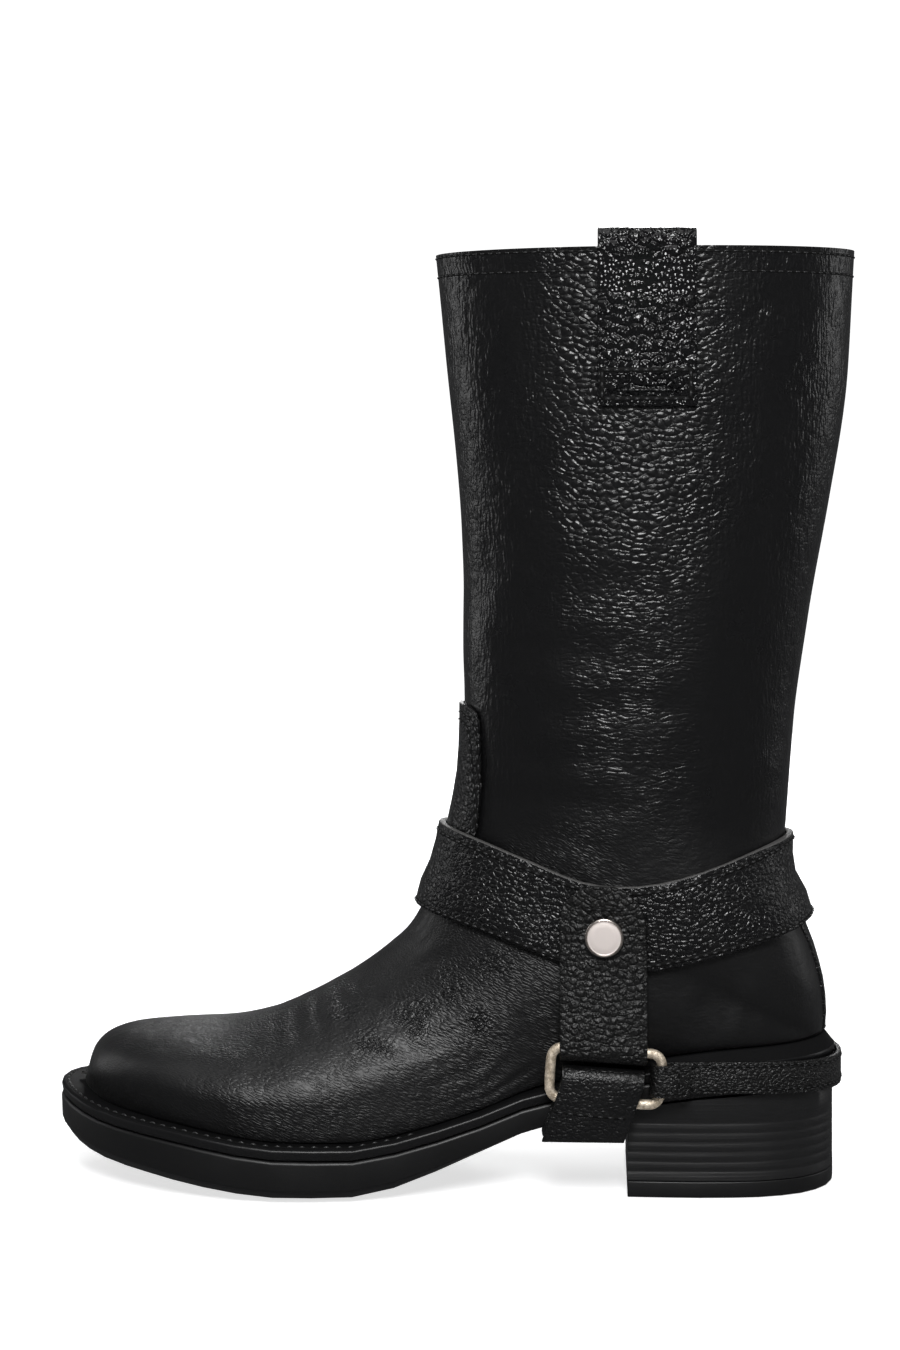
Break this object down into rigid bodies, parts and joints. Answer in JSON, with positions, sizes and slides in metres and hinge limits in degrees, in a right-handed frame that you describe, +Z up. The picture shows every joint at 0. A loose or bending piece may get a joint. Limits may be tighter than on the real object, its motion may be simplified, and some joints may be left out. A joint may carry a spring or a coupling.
{
  "type": "biker boot",
  "caption": "Black pull-on leather biker boot with a round toe, low block heel, pull loops and a strap harness with oval rings at the sole.",
  "frame": {"origin": "on the floor, in the middle of the heel's tread", "axes": "+X towards the toe, +Y towards the outer (lateral) side of the left boot, +Z up the shaft"},
  "size_m": [0.2756, 0.0973, 0.3237],
  "materials": {
    "upper_leather": "black pebbled leather, glossy",
    "strap_leather": "black pebbled leather, glossy",
    "harness_leather": "black pebbled leather, satin",
    "rivet_metal": "satin nickel",
    "ring_metal": "worn champagne-coloured plating",
    "welt_rubber": "black, satin",
    "outsole_rubber": "black, satin",
    "heel_rubber": "black, satin",
    "insole_leather": "dark lining leather, matt"
  },
  "bodies": {
    "root": {"upper": "upper_leather", "vamp_tongue": "upper_leather", "backstay": "upper_leather", "pull_loop_lateral": "strap_leather", "pull_loop_medial": "strap_leather", "ankle_strap": "strap_leather", "drop_strap_lateral": "harness_leather", "drop_strap_medial": "harness_leather", "arch_strap": "harness_leather", "heel_strap": "harness_leather", "rivet_lateral": "rivet_metal", "rivet_medial": "rivet_metal", "ring_lateral": "ring_metal", "ring_medial": "ring_metal", "welt": "welt_rubber", "outsole": "outsole_rubber", "heel_block": "heel_rubber", "heel_lift": "heel_rubber", "insole": "insole_leather"}
  },
  "joints": []
}
